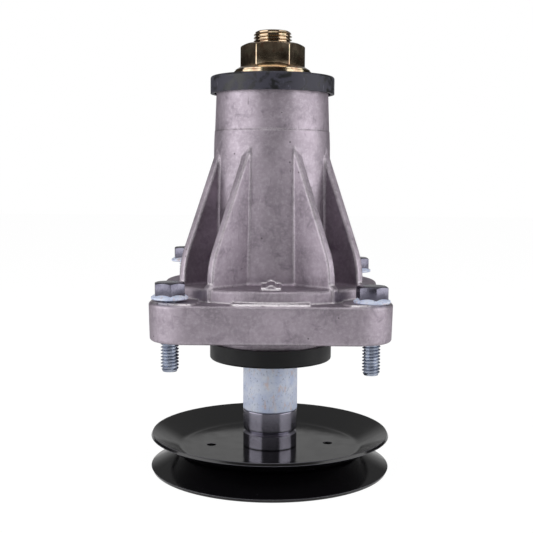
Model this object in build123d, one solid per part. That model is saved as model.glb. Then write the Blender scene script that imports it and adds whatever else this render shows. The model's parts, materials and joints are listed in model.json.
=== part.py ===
from build123d import *
import math
import os

# Mower deck spindle, in millimetres. The origin is the middle of the housing's mounting face,
# and Z runs along the spindle to its blade end. The pulley is at the negative end of Z.

# Housing: flange and platform
flange_side = 107.8
flange_corner_radius = 16.5
flange_thickness = 17.1
flange_edge_round = 1.3
flange_draft_angle = 1.6
platform_inset = 3.9
platform_rise = 5.9
platform_edge_round = 1.3
platform_draft = 0.8
land_width = 33.8
land_rise = 0.8
lug_width = 8.6
lug_rise = 2.3
lug_inset = 5.0

# Housing: tube, from the mounting face up, and pilot boss, from it down
tube_height = 114.0
tube_end_radius = 26.2
tube_line_drop = 20.8
tube_line_flare = 0.75
tube_line_step = 0.15
tube_neck_drop = 26.6
tube_neck_flare = 1.15
tube_foot_flare = 2.25
tube_foot_round = 1.5
pilot_length = 10.65
core_bore_radius = 20.8
housing_edge_chamfer = 0.6

# Housing: ribs, in pairs that straddle each corner bolt
rib_pair_spacing = 18.9
rib_thickness = 3.9
rib_top_drop = 28.4
rib_upright_height = 8.3
rib_foot_inset = 2.4
rib_toe_inset = 0.2
rib_toe_rise = 2.0
rib_toe_radius = 1.0
# How much of each straight edge the arcs at the shoulder and at the tip take
rib_shoulder_run = 7.49
rib_tip_run = 4.16
rib_edge_round = 0.8
rib_root_round = 0.9

# Housing: cored pockets under the platform
pocket_inner_radius = 31.0
pocket_inset = 6.0
pocket_roof = 4.8
pocket_draft = 1.0
pocket_web = 4.0
pocket_web_count = 8

# Mounting bolts: thread-forming hex flange screws in a square pattern
bolt_edge_distance = 9.9
bolt_diameter = 7.94
bolt_length = 31.75
bolt_across_flats = 12.7
bolt_head_height = 7.4
bolt_crown_inset = 0.45
bolt_flange_radius = 8.1
bolt_flange_rim = 1.1
bolt_flange_rise = 1.3
bolt_flange_chamfer = 0.35
bolt_cone_inset = 0.3
bolt_tip_inset = 0.9
bolt_tip_length = 1.8
bolt_hex_turn = 38.4
bolt_pitch_diameter = 7.02
bolt_hole_clearance = 0.08
bolt_hole_mouth = 0.13
bolt_pad_radius = 13.0
bolt_pad_rise = 0.7
# How far each head stands off its pad, counted front left, front right, rear right, rear left
bolt_standoffs = [1.05, 0.0, 5.1, 10.0]

# Bearings: two sealed deep-groove ball bearings
bearing_bore = 20.0
bearing_outer = 47.0
bearing_width = 14.0
bearing_recess = 1.0
ball_count = 8
ball_diameter = 7.94
ball_pitch_radius = 16.75
race_clearance = 0.12
outer_land_radius = 20.4
inner_land_radius = 14.0
bearing_edge_round = 0.8
cage_thickness = 3.4
cage_back = 5.2
cage_front = 2.2
seal_thickness = 1.3
seal_seat_radius = 21.0
seal_inset = 0.15
seal_running_gap = 0.3

# Dust caps: cups that turn with the spindle
cap_lip_thickness = 1.7
cap_disc_thickness = 2.3
cap_boss_radius = 13.0
cap_edge_round = 1.1
cap_running_gap = 1.2
cap_depth = 8.0
blade_cap_standoff = 5.6
pulley_cap_standoff = 5.2

# Spindle: shaft, nut, washer and the spacers on it
shaft_fit = 0.05
shaft_head_flats = 27.0
shaft_head_height = 6.0
shaft_head_crown_inset = 0.55
thread_diameter = 18.0
thread_free_length = 6.1
thread_end_round = 2.4
thread_runout = 0.8
nut_across_flats = 26.4
nut_height = 12.9
nut_flange_radius = 17.6
nut_flange_rim = 0.9
nut_flange_rise = 2.5
nut_crown_inset = 0.7
nut_countersink = 1.0
washer_radius = 18.2
washer_thickness = 2.2
inner_spacer_radius = 13.5
sleeve_radius = 13.05
sleeve_length = 24.55
sleeve_edge_round = 0.6
collar_radius = 12.95
collar_length = 10.2
collar_edge_round = 1.4

# Pulley: hub, key and two pressed sheaves back to back
hub_radius = 12.95
hub_top_chamfer = 1.3
hub_length = 7.8
hub_neck_radius = 12.2
hub_neck_end = 0.5
sheave_radius = 57.15
sheave_half_height = 8.7
sheave_sheet = 1.5
sheave_web_radius = 43.0
sheave_bend_radius = 5.0
sheave_hub_clearance = 0.05
sheave_hole_radius = 2.2
sheave_hole_reach = 28.3
sheave_hole_turn = 4.6
key_width = 4.0
key_height = 4.0
key_length = 10.0
key_depth = 2.5
key_clearance = 0.03
key_crown = 0.2

# How far a cutting solid runs past a face, and a raised pad down into its plate
run_past = 1.0
# How close an edge lies to the place that picks it
pick_width = 0.01

# Places worked out from the sizes above
platform_top = flange_thickness + platform_rise
platform_radius = flange_side / 2 - platform_inset
tube_line_radius = tube_end_radius + tube_line_flare
tube_neck_radius = tube_end_radius + tube_neck_flare
tube_foot_radius = tube_end_radius + tube_foot_flare
pilot_radius = tube_end_radius
cap_radius = tube_end_radius + cap_running_gap + cap_lip_thickness
rib_foot_reach = platform_radius - rib_foot_inset
rib_toe_reach = platform_radius - rib_toe_inset
bolt_spacing = flange_side - 2 * bolt_edge_distance
bolt_pad_top = flange_thickness + bolt_pad_rise
blade_bearing_face = tube_height - bearing_recess
pulley_bearing_face = bearing_recess - pilot_length
blade_bearing_middle = blade_bearing_face - bearing_width / 2
pulley_bearing_middle = pulley_bearing_face + bearing_width / 2
blade_cap_top = blade_bearing_face + blade_cap_standoff
nut_seat = blade_cap_top + washer_thickness
nut_top = nut_seat + nut_height
shaft_end = nut_top + thread_free_length
sleeve_top = pulley_bearing_face - pulley_cap_standoff
collar_top = sleeve_top - sleeve_length
hub_top = collar_top - collar_length
web_top = hub_top - hub_length
pulley_middle = web_top - sheave_sheet
head_top = pulley_middle - sheave_sheet - hub_neck_end
shaft_radius = bearing_bore / 2
ball_radius = ball_diameter / 2
wall_middle_radius = (core_bore_radius + tube_end_radius) / 2
key_middle = (hub_top + head_top) / 2
bolt_places = [(-1, -1), (1, -1), (1, 1), (-1, 1)]


def turned(points):
    """Solid of revolution about Z from a closed outline of (radius, height) points."""
    return revolve(Plane.XZ * make_face(Polyline(*points, close=True)), Axis.Z)


def tube_between(outer, inner, bottom, top):
    """Plain ring from one height to another."""
    return turned([(inner, bottom), (outer, bottom), (outer, top), (inner, top)])


def hexagon(across_flats, bottom, height, turn):
    """Hexagonal prism; at turn 0 a corner points along X."""
    outline = RegularPolygon(across_flats / 2, 6, major_radius=False, rotation=turn)
    return extrude(Pos(0, 0, bottom) * outline, height)


def crown(corner_radius, flat_radius, bottom, top):
    """Turned blank whose top edge is cut back at 30 degrees, for the corners of a hexagon."""
    drop = (corner_radius - flat_radius) * math.tan(math.radians(30))
    shoulder = top - drop
    return turned([(0, bottom), (corner_radius, bottom), (corner_radius, shoulder), (flat_radius, top), (0, top)])


def housing_blank():
    """Tube, platform and pilot boss as one turned blank."""
    line_z = tube_height - tube_line_drop
    blank = turned([
        (0, -pilot_length),
        (pilot_radius - housing_edge_chamfer, -pilot_length),
        (pilot_radius, -pilot_length + housing_edge_chamfer),
        (pilot_radius, flange_edge_round),
        (platform_radius + platform_draft, flange_edge_round),
        (platform_radius, platform_top),
        (tube_foot_radius, platform_top),
        (tube_neck_radius, tube_height - tube_neck_drop),
        (tube_line_radius + tube_line_step, line_z),
        (tube_line_radius, line_z),
        (tube_end_radius, tube_height - housing_edge_chamfer),
        (tube_end_radius - housing_edge_chamfer, tube_height),
        (0, tube_height),
    ])
    around_top = (Axis.Z, platform_top - pick_width, platform_top + pick_width)
    rims = blank.edges().filter_by(GeomType.CIRCLE).filter_by_position(*around_top)
    blank = fillet(rims.sort_by(SortBy.RADIUS)[-1], platform_edge_round)
    rims = blank.edges().filter_by(GeomType.CIRCLE).filter_by_position(*around_top)
    return fillet(rims.sort_by(SortBy.RADIUS)[0], tube_foot_round)


def flange():
    """Square flange with round corners, pads at the bolts and a raised land on each side."""
    outline = RectangleRounded(flange_side, flange_side, flange_corner_radius)
    plate = extrude(Pos(0, 0, flange_thickness) * outline, flange_thickness, (0, 0, -1), taper=flange_draft_angle)
    rim = plate.edges().group_by(Axis.Z)
    plate = fillet(rim[0] + rim[-1], flange_edge_round)
    inset = flange_side - 2 * flange_edge_round
    top_outline = RectangleRounded(inset, inset, flange_corner_radius - flange_edge_round)
    half = bolt_spacing / 2
    low = Pos(0, 0, flange_thickness - run_past)
    for x, y in bolt_places:
        pad = Pos(x * half, y * half) * Circle(bolt_pad_radius) & top_outline
        plate += extrude(low * pad, bolt_pad_rise + run_past)
    cross = Rectangle(land_width, inset) + Rectangle(inset, land_width)
    return plate + extrude(low * cross, land_rise + run_past)


def rib():
    """One rib in the XZ plane: X is the distance from the axis along the bolt diagonal."""
    near_side, far_side = (rib_pair_spacing - rib_thickness) / 2, (rib_pair_spacing + rib_thickness) / 2
    start = math.sqrt(tube_neck_radius ** 2 - far_side ** 2)
    apex = tube_height - rib_top_drop
    inside = (math.sqrt(core_bore_radius ** 2 - near_side ** 2) + start) / 2
    bottom = flange_thickness / 2
    toe_top = platform_top + rib_toe_rise
    shoulder = toe_top + rib_upright_height
    half_turn = math.atan2(rib_foot_reach - start, apex - shoulder) / 2
    top = apex + rib_tip_run + run_past
    corners = [
        (inside, bottom), (rib_toe_reach, bottom), (rib_toe_reach, platform_top), (rib_foot_reach, toe_top),
        (rib_foot_reach, shoulder), (start, apex), (start, top), (inside, top),
    ]
    sketch = make_face(Polyline(*corners, close=True))
    sketch = fillet(sketch.vertices().sort_by_distance((rib_foot_reach, shoulder))[0], rib_shoulder_run / math.tan(half_turn))
    sketch = fillet(sketch.vertices().sort_by_distance((rib_toe_reach, platform_top))[0], rib_toe_radius)
    sketch = fillet(sketch.vertices().sort_by_distance((start, apex))[0], rib_tip_run / math.tan(half_turn))
    body = extrude(Plane.XZ * sketch, rib_thickness / 2, both=True)
    sides = [e for e in body.edges() if abs(abs(e.center().Y) - rib_thickness / 2) < pick_width]
    ridge = [e for e in sides if e.center().X > start + run_past and e.bounding_box().size.Z > run_past]
    return fillet(ridge, rib_edge_round)


def rib_roots(body):
    """Long edges where the sides of the ribs meet the tube."""
    roots = []
    for edge in body.edges().filter_by(GeomType.LINE, reverse=True):
        reach = math.hypot(edge.center().X, edge.center().Y)
        on_tube = tube_line_radius - pick_width < reach < tube_foot_radius + pick_width
        if on_tube and edge.bounding_box().size.Z > tube_height / 4:
            roots.append(edge)
    return roots


def pockets():
    """Cored pockets under the platform, parted by webs."""
    roof = platform_top - pocket_roof
    outer = platform_radius - pocket_inset
    ring = turned([
        (pocket_inner_radius - pocket_draft, -run_past),
        (outer + pocket_draft, -run_past),
        (outer, roof),
        (pocket_inner_radius, roof),
    ])
    web = Box(2 * platform_radius, pocket_web, 4 * platform_top)
    for i in range(pocket_web_count // 2):
        ring -= Rot(0, 0, 360 / pocket_web_count * i) * web
    return ring


def housing():
    """Die-cast housing: flange, platform, tube and ribs in one piece, bored for both bearings."""
    body = housing_blank()
    one_rib = rib()
    for i in range(4):
        for side in (-1, 1):
            body += Rot(0, 0, 45 + 90 * i) * Pos(0, side * rib_pair_spacing / 2) * one_rib
    body = fillet(rib_roots(body), rib_root_round) + flange()
    lug_profile = Pos(0, platform_top) * (Circle(lug_rise) + Rectangle(lug_width, lug_rise))
    lug_profile = lug_profile & Pos(0, platform_top + lug_rise / 2) * Rectangle(lug_width, lug_rise)
    body += Pos(0, -wall_middle_radius, 0) * extrude(Plane.XZ * lug_profile, platform_radius - lug_inset - wall_middle_radius)
    body -= pockets()
    seat_radius = bearing_outer / 2
    seat_depth = bearing_recess + bearing_width
    body -= tube_between(core_bore_radius, 0, -pilot_length - run_past, tube_height + run_past)
    body -= turned([
        (0, tube_height - seat_depth),
        (seat_radius, tube_height - seat_depth),
        (seat_radius, tube_height - housing_edge_chamfer),
        (seat_radius + housing_edge_chamfer, tube_height),
        (seat_radius + housing_edge_chamfer, tube_height + run_past),
        (0, tube_height + run_past),
    ])
    body -= turned([
        (0, seat_depth - pilot_length),
        (seat_radius, seat_depth - pilot_length),
        (seat_radius, housing_edge_chamfer - pilot_length),
        (seat_radius + housing_edge_chamfer, -pilot_length),
        (seat_radius + housing_edge_chamfer, -pilot_length - run_past),
        (0, -pilot_length - run_past),
    ])
    half = bolt_spacing / 2
    hole_radius = bolt_pitch_diameter / 2 + bolt_hole_clearance
    mouth_radius = bolt_diameter / 2 + bolt_hole_mouth
    hole = turned([
        (0, -run_past), (mouth_radius, -run_past), (mouth_radius, 0), (hole_radius, mouth_radius - hole_radius),
        (hole_radius, bolt_pad_top + run_past), (0, bolt_pad_top + run_past),
    ])
    for x, y in bolt_places:
        body -= Pos(x * half, y * half) * hole
    return body


def mounting_bolt(standoff):
    """Hex flange screw, head up, with its seat standoff above the pad.

    Down to the mounting face its thread is formed into the wall of the hole, so the shank is drawn
    there at its pitch diameter, and at its full diameter where it stands out below.
    """
    seat = bolt_pad_top + standoff
    corner = bolt_across_flats / math.sqrt(3)
    top = seat + bolt_head_height
    blank = crown(corner, bolt_across_flats / 2 - bolt_crown_inset, seat, top)
    head = hexagon(bolt_across_flats, seat, bolt_head_height, bolt_hex_turn) & blank
    radius = bolt_diameter / 2
    formed_radius = bolt_pitch_diameter / 2
    tip = seat - bolt_length
    body = turned([
        (0, tip),
        (radius - bolt_tip_inset, tip),
        (radius, tip + bolt_tip_length),
        (radius, 0),
        (formed_radius, 0),
        (formed_radius, seat),
        (bolt_flange_radius - bolt_flange_chamfer, seat),
        (bolt_flange_radius, seat + bolt_flange_chamfer),
        (bolt_flange_radius, seat + bolt_flange_rim),
        (bolt_across_flats / 2 - bolt_cone_inset, seat + bolt_flange_rim + bolt_flange_rise),
        (0, seat + bolt_flange_rim + bolt_flange_rise),
    ])
    return body + head


def bearing(middle, outward):
    """The six pieces of one sealed ball bearing; outward is 1 where its open side faces up."""
    half = bearing_width / 2
    groove = Torus(ball_pitch_radius, ball_radius + race_clearance)
    seal_back = half - seal_inset - seal_thickness
    edge = bearing_edge_round
    outer = turned([
        (seal_seat_radius, -half), (bearing_outer / 2 - edge, -half), (bearing_outer / 2, edge - half),
        (bearing_outer / 2, half - edge), (bearing_outer / 2 - edge, half), (seal_seat_radius, half),
        (seal_seat_radius, seal_back), (outer_land_radius, seal_back),
        (outer_land_radius, -seal_back), (seal_seat_radius, -seal_back),
    ]) - groove
    inner = turned([
        (bearing_bore / 2, edge - half), (bearing_bore / 2 + edge, -half), (inner_land_radius, -half),
        (inner_land_radius, half), (bearing_bore / 2 + edge, half), (bearing_bore / 2, half - edge),
    ]) - groove
    ball = Sphere(ball_radius)
    pocket = Sphere(ball_radius + race_clearance)
    cage_outer = ball_pitch_radius + cage_thickness / 2
    cage = tube_between(cage_outer, cage_outer - cage_thickness, -cage_back, cage_front)
    place = Pos(0, 0, middle) * Rot(0 if outward > 0 else 180, 0, 0)
    balls = []
    for i in range(ball_count):
        seat = Rot(0, 0, 360 / ball_count * i) * Pos(ball_pitch_radius, 0)
        balls.append(place * seat * ball)
        cage -= seat * pocket
    seal_lip = inner_land_radius + seal_running_gap
    seal = tube_between(seal_seat_radius, seal_lip, seal_back, seal_back + seal_thickness)
    return {
        "outer_ring": place * outer,
        "inner_ring": place * inner,
        "balls": Compound(balls),
        "cage": place * cage,
        "outer_seal": place * seal,
        "inner_seal": place * Rot(180, 0, 0) * seal,
    }


def dust_cap(face):
    """Cup with its boss on the bearing's inner ring at height 0 and its closed face above."""
    inner = cap_radius - cap_lip_thickness
    bore = shaft_radius + shaft_fit
    cup = turned([
        (bore, 0), (cap_boss_radius, 0), (cap_boss_radius, face - cap_disc_thickness),
        (inner, face - cap_disc_thickness), (inner, face - cap_depth), (cap_radius, face - cap_depth),
        (cap_radius, face), (bore, face),
    ])
    rim = cup.edges().filter_by(GeomType.CIRCLE).group_by(Axis.Z)[-1].sort_by(SortBy.RADIUS)[-1]
    return fillet(rim, cap_edge_round)


def spindle_shaft():
    """Shaft with a hex head under the pulley, a keyway and the thread at the blade end."""
    thread_radius = thread_diameter / 2
    thread_start = blade_cap_top - thread_runout
    shaft = turned([
        (0, head_top),
        (shaft_radius, head_top),
        (shaft_radius, thread_start - (shaft_radius - thread_radius)),
        (thread_radius, thread_start),
        (thread_radius, shaft_end),
        (0, shaft_end),
    ])
    end_edge = shaft.edges().filter_by(GeomType.CIRCLE).group_by(Axis.Z)[-1]
    shaft = fillet(end_edge, thread_end_round)
    bottom = head_top - shaft_head_height
    corner = shaft_head_flats / math.sqrt(3)
    blank = Rot(180, 0, 0) * crown(corner, shaft_head_flats / 2 - shaft_head_crown_inset, -head_top, -bottom)
    shaft += hexagon(shaft_head_flats, bottom, shaft_head_height, 0) & blank
    slot = Box(key_depth + run_past, key_width + 2 * key_clearance, key_length)
    return shaft - Pos(shaft_radius + (run_past - key_depth) / 2, 0, key_middle) * slot


def pulley_key():
    """Parallel key between the shaft and the pulley hub."""
    length = key_length - 2 * key_clearance
    base = shaft_radius - key_depth
    return Pos(base + key_height / 2, 0, key_middle) * Box(key_height, key_width, length)


def blade_nut():
    """Hex flange nut that clamps the blade."""
    corner = nut_across_flats / math.sqrt(3)
    blank = crown(corner, nut_across_flats / 2 - nut_crown_inset, nut_seat, nut_top)
    hexed = hexagon(nut_across_flats, nut_seat, nut_height, 0) & blank
    skirt = turned([
        (0, nut_seat), (nut_flange_radius, nut_seat), (nut_flange_radius, nut_seat + nut_flange_rim),
        (nut_across_flats / 2, nut_seat + nut_flange_rim + nut_flange_rise),
        (0, nut_seat + nut_flange_rim + nut_flange_rise),
    ])
    bore = thread_diameter / 2 + shaft_fit
    countersink = turned([
        (0, nut_top - nut_countersink), (bore, nut_top - nut_countersink),
        (bore + nut_countersink + run_past, nut_top + run_past), (0, nut_top + run_past),
    ])
    return hexed + skirt - tube_between(bore, 0, nut_seat - run_past, nut_top + run_past) - countersink


def rounded_sleeve(radius, bottom, top, round_bottom):
    """Turned sleeve on the shaft with rounded outer edges."""
    sleeve = tube_between(radius, shaft_radius + shaft_fit, bottom, top)
    rings = sleeve.edges().filter_by(GeomType.CIRCLE).group_by(Axis.Z)
    sleeve = fillet(rings[0].sort_by(SortBy.RADIUS)[-1], round_bottom)
    rings = sleeve.edges().filter_by(GeomType.CIRCLE).group_by(Axis.Z)
    return fillet(rings[-1].sort_by(SortBy.RADIUS)[-1], sleeve_edge_round)


def pulley_hub():
    """Hub with a neck through both webs and a keyway."""
    bore = shaft_radius + shaft_fit
    hub = turned([
        (bore, head_top), (hub_neck_radius, head_top), (hub_neck_radius, web_top), (hub_radius, web_top),
        (hub_radius, hub_top - hub_top_chamfer), (hub_radius - hub_top_chamfer, hub_top), (bore, hub_top),
    ])
    reach = shaft_radius - key_depth + key_height + key_crown
    slot = Box(reach, key_width + 2 * key_clearance, hub_top - head_top + 2 * run_past)
    return hub - Pos(reach / 2, 0, key_middle) * slot


def sheave(direction):
    """Pressed dish with its web on the pulley's middle plane; direction is 1 for the upper half."""
    wall_angle = math.atan2(sheave_half_height - sheave_sheet, sheave_radius - sheave_web_radius)
    shift = sheave_sheet * math.tan(wall_angle / 2)
    hole = hub_neck_radius + sheave_hub_clearance
    lean = sheave_sheet * math.sin(wall_angle)
    rim = (sheave_radius - lean, sheave_half_height)
    under_rim = (sheave_radius, sheave_half_height - sheave_sheet * math.cos(wall_angle))
    upper_corner = (sheave_web_radius, sheave_sheet)
    lower_corner = (sheave_web_radius + shift, 0)
    points = [(hole, 0), lower_corner, under_rim, rim, upper_corner, (hole, sheave_sheet)]
    outline = make_face(Polyline(*points, close=True))
    corners = outline.vertices()
    outline = fillet(corners.sort_by_distance(upper_corner)[0], sheave_bend_radius)
    corners = outline.vertices()
    outline = fillet(corners.sort_by_distance(lower_corner)[0], sheave_bend_radius + sheave_sheet)
    dish = revolve(Plane.XZ * outline, Axis.Z)
    for side in (0, 180):
        place = Rot(0, 0, side + sheave_hole_turn) * Pos(sheave_hole_reach, 0)
        dish -= place * Cylinder(sheave_hole_radius, 4 * sheave_sheet)
    flip = Rot(0 if direction > 0 else 180, 0, 0)
    turn_back = Rot(0, 0, 0 if direction > 0 else 2 * sheave_hole_turn)
    return Pos(0, 0, pulley_middle) * turn_back * flip * dish


blade_cap = dust_cap(blade_cap_standoff)
pulley_cap = dust_cap(pulley_cap_standoff)
bore = shaft_radius + shaft_fit
spacer_bottom = pulley_bearing_face + bearing_width
spacer_top = blade_bearing_face - bearing_width

parts = {
    "housing": housing(),
    "spindle_shaft": spindle_shaft(),
    "blade_nut": blade_nut(),
    "blade_washer": tube_between(washer_radius, thread_diameter / 2 + shaft_fit, blade_cap_top, nut_seat),
    "blade_end_dust_cap": Pos(0, 0, blade_bearing_face) * blade_cap,
    "pulley_end_dust_cap": Pos(0, 0, pulley_bearing_face) * Rot(180, 0, 0) * pulley_cap,
    "bearing_spacer_tube": tube_between(inner_spacer_radius, bore, spacer_bottom, spacer_top),
    "spacer_sleeve": rounded_sleeve(sleeve_radius, collar_top, sleeve_top, sleeve_edge_round),
    "hub_collar": rounded_sleeve(collar_radius, hub_top, collar_top, collar_edge_round),
    "pulley_hub": pulley_hub(),
    "upper_sheave": sheave(1),
    "lower_sheave": sheave(-1),
    "pulley_key": pulley_key(),
}
for name, piece in bearing(blade_bearing_middle, 1).items():
    parts["blade_end_bearing_" + name] = piece
for name, piece in bearing(pulley_bearing_middle, -1).items():
    parts["pulley_end_bearing_" + name] = piece
for number, (x, y) in enumerate(bolt_places):
    bolt = mounting_bolt(bolt_standoffs[number])
    parts["mounting_bolt_%d" % (number + 1)] = Pos(x * bolt_spacing / 2, y * bolt_spacing / 2) * bolt

os.makedirs("parts", exist_ok=True)
for name, piece in parts.items():
    export_step(piece, "parts/" + name + ".step")
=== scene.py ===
# %% [markdown]
# # A mower deck spindle, from its cast housing to its threads
# The CAD model is the frame: every piece here sits where the CAD says, in metres, with +Z along the
# spindle to its blade end. The housing, the caps, the spacers and the pulley are already right in
# shape, so they only get a finish. The small things that CAD leaves plain, which are the threads and
# the crisp bevelled hexagons of the bolts and the nut, are modelled here and take the place of their
# plain solids.

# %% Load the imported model
import json
import math

import bpy
from mathutils import Matrix, Vector


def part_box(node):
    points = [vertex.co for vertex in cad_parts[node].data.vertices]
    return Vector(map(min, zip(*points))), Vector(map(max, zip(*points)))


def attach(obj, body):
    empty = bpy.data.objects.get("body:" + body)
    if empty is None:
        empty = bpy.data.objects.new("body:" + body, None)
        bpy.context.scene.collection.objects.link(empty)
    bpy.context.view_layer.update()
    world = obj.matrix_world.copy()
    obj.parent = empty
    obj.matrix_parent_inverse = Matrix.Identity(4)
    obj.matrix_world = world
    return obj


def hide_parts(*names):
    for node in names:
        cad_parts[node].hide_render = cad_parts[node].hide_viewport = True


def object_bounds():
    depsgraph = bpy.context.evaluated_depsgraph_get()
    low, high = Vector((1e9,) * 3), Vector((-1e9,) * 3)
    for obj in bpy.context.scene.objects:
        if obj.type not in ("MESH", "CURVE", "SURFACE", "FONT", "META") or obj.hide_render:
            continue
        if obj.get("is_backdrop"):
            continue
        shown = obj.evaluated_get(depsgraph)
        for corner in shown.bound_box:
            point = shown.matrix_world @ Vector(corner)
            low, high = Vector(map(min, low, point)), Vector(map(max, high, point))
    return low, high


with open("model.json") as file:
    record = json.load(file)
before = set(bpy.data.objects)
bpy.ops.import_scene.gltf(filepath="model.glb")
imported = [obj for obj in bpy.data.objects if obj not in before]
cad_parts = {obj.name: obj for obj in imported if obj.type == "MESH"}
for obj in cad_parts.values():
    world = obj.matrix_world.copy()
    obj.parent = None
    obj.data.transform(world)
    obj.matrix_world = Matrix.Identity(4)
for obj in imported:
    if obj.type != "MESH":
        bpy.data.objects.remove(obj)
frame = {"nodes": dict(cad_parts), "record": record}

cad_low, cad_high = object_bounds()
nodes = frame["nodes"]
print("CAD box in mm:", [round(1000 * v, 1) for v in (*cad_low, *cad_high)])

# %% [markdown]
# ## Helpers for colour and nodes
# Paint charts give colours as sRGB hex values, but the shader works in linear light, so one function
# turns one into the other. One more adds a node with its settings and links, which keeps each
# material readable as a list of what goes into what.

# %% Colour and node helpers


def linear(hex_colour):
    """Red, green, blue and alpha in linear light, from an sRGB hex value."""
    channels = [int(hex_colour[i:i + 2], 16) / 255 for i in (1, 3, 5)]
    return [c / 12.92 if c <= 0.04045 else ((c + 0.055) / 1.055) ** 2.4 for c in channels] + [1.0]


def add(tree, kind, inputs=None, **settings):
    """A new node. Each input is a value, a node (its first output) or an output socket."""
    node = tree.nodes.new("ShaderNode" + kind)
    for name, value in settings.items():
        setattr(node, name, value)
    for socket, value in (inputs or {}).items():
        if isinstance(value, bpy.types.Node):
            value = value.outputs[0]
        if isinstance(value, bpy.types.NodeSocket):
            tree.links.new(value, node.inputs[socket])
        else:
            node.inputs[socket].default_value = value
    return node


print("middle grey in linear light:", round(linear("#808080")[0], 3))

# %% [markdown]
# ## The camera
# The photograph was taken from about half a metre away with the camera a little above the flange
# and tipped down by five degrees, which is why the pulley shows its dish and the nut doesn't show
# its top. The two dust caps come out equal in size only with that tilt. A camera turned by less
# than half a degree gives the object's slight lean.

# %% Camera
PHOTO_SIDE = 533  # pixels
FOCAL_PIXELS, SHIFT_PIXELS = 974.0, -4.62  # focal length and sideways shift of the lens
CAMERA_PLACE = (0.0, -0.4642, 0.07243)  # metres
TILT_DOWN, LEAN = math.radians(5.315), math.radians(0.444)
camera_data = bpy.data.cameras.new("camera")
camera_data.sensor_width = 36.0
camera_data.lens = FOCAL_PIXELS * camera_data.sensor_width / PHOTO_SIDE
camera_data.shift_x = SHIFT_PIXELS / PHOTO_SIDE
camera = bpy.data.objects.new("camera", camera_data)
bpy.context.scene.collection.objects.link(camera)
bpy.context.scene.camera = camera
camera.location = CAMERA_PLACE
camera.matrix_world = (Matrix.Translation(camera.location)
                       @ Matrix.Rotation(math.radians(90) - TILT_DOWN, 4, "X")
                       @ Matrix.Rotation(LEAN, 4, "Z"))
print("lens in mm:", round(camera_data.lens, 2))

# %% [markdown]
# ## Studio
# A product photograph of metal is lit by two large soft boxes, one on each side. The room behind
# the camera stays dark, and that dark strip in the middle of every round part is what makes it
# look like metal. The world is that room, dark below and lighter towards the ceiling. Its white
# background is seen only by the camera and, dimmer, in reflections, so it adds no other light.

# %% World
ROOM_DARK, ROOM_LIGHT = 0.035, 0.42  # strength of the room near the floor and at the ceiling
WHITE_IN_MIRRORS = 0.42  # how much of the white background a shiny surface sees
world = bpy.data.worlds.new("studio")
bpy.context.scene.world = world
world.use_nodes = True
tree = world.node_tree
tree.nodes.clear()
direction = add(tree, "SeparateXYZ", {0: add(tree, "TexCoord").outputs["Generated"]})
behind = add(tree, "MapRange", {0: direction.outputs["Y"], 1: 0.86, 2: 0.97, 3: 0.0,
                               4: WHITE_IN_MIRRORS}, interpolation_type="SMOOTHSTEP")
ceiling = add(tree, "MapRange", {0: direction.outputs["Z"], 1: 0.1, 2: 0.9, 3: ROOM_DARK, 4: ROOM_LIGHT})
path = add(tree, "LightPath")
clear_view = add(tree, "Math", {0: path.outputs["Is Glossy Ray"], 1: path.outputs["Is Transmission Ray"]},
                 operation="MAXIMUM")
backdrop_seen = add(tree, "Math", {0: clear_view, 1: behind}, operation="MULTIPLY")
white_seen = add(tree, "Math", {0: path.outputs["Is Camera Ray"], 1: backdrop_seen}, operation="MAXIMUM")
level = add(tree, "Mix", {0: white_seen, 2: ceiling, 3: 1.0}, data_type="FLOAT")
shade = add(tree, "Background", {"Color": (1, 1, 1, 1), "Strength": level})
add(tree, "OutputWorld", {"Surface": shade})
print("world has", len(tree.nodes), "nodes")

# %% [markdown]
# The floor is white sweep paper. Seen by the camera it is mostly lit from within, so that it
# merges with the white background, and the rest of it is real paper that keeps the shadow. From
# below it is clear, so that the underside of the spindle can be looked at too.

# %% Paper for the floor
PAPER_GLOW = 1.07  # strength of the light within the paper, where 1 is white
CAMERA_SHARE, MIRROR_SHARE = 0.9, 0.35  # how much of it the camera and shiny surfaces see
floor_material = bpy.data.materials.new("white_sweep_paper")
floor_material.use_nodes = True
tree = floor_material.node_tree
tree.nodes.clear()
paper = add(tree, "BsdfPrincipled", {"Base Color": linear("#F2F2F2"), "Roughness": 0.9,
                                     "Specular IOR Level": 0.1})
glow = add(tree, "Emission", {"Color": (1, 1, 1, 1), "Strength": PAPER_GLOW})
path = add(tree, "LightPath")
seen = add(tree, "Math", {0: path.outputs["Is Camera Ray"], 1: CAMERA_SHARE}, operation="MULTIPLY")
mirrored = add(tree, "Math", {0: path.outputs["Is Glossy Ray"], 1: path.outputs["Is Transmission Ray"]},
               operation="MAXIMUM")
some = add(tree, "Math", {0: mirrored, 1: MIRROR_SHARE}, operation="MULTIPLY")
share = add(tree, "Math", {0: seen, 1: some}, operation="MAXIMUM")
mixed = add(tree, "MixShader", {0: share, 1: paper, 2: glow})
from_below = add(tree, "NewGeometry").outputs["Backfacing"]
one_sided = add(tree, "MixShader", {0: from_below, 1: mixed, 2: add(tree, "BsdfTransparent")})
add(tree, "OutputMaterial", {"Surface": one_sided})
print("paper has", len(tree.nodes), "nodes")

# %% [markdown]
# The floor is one flat square. It lies a fifth of a millimetre under the CAD model's lowest point,
# so that the two never share a surface.

# %% Floor
FLOOR_SIDE, FLOOR_GAP = 6.0, 0.0002  # metres


def deselect():
    """Leaves edit mode and selects nothing, so that the next operator starts clean."""
    if bpy.context.object and bpy.context.object.mode != "OBJECT":
        bpy.ops.object.mode_set(mode="OBJECT")
    bpy.ops.object.select_all(action="DESELECT")


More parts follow.
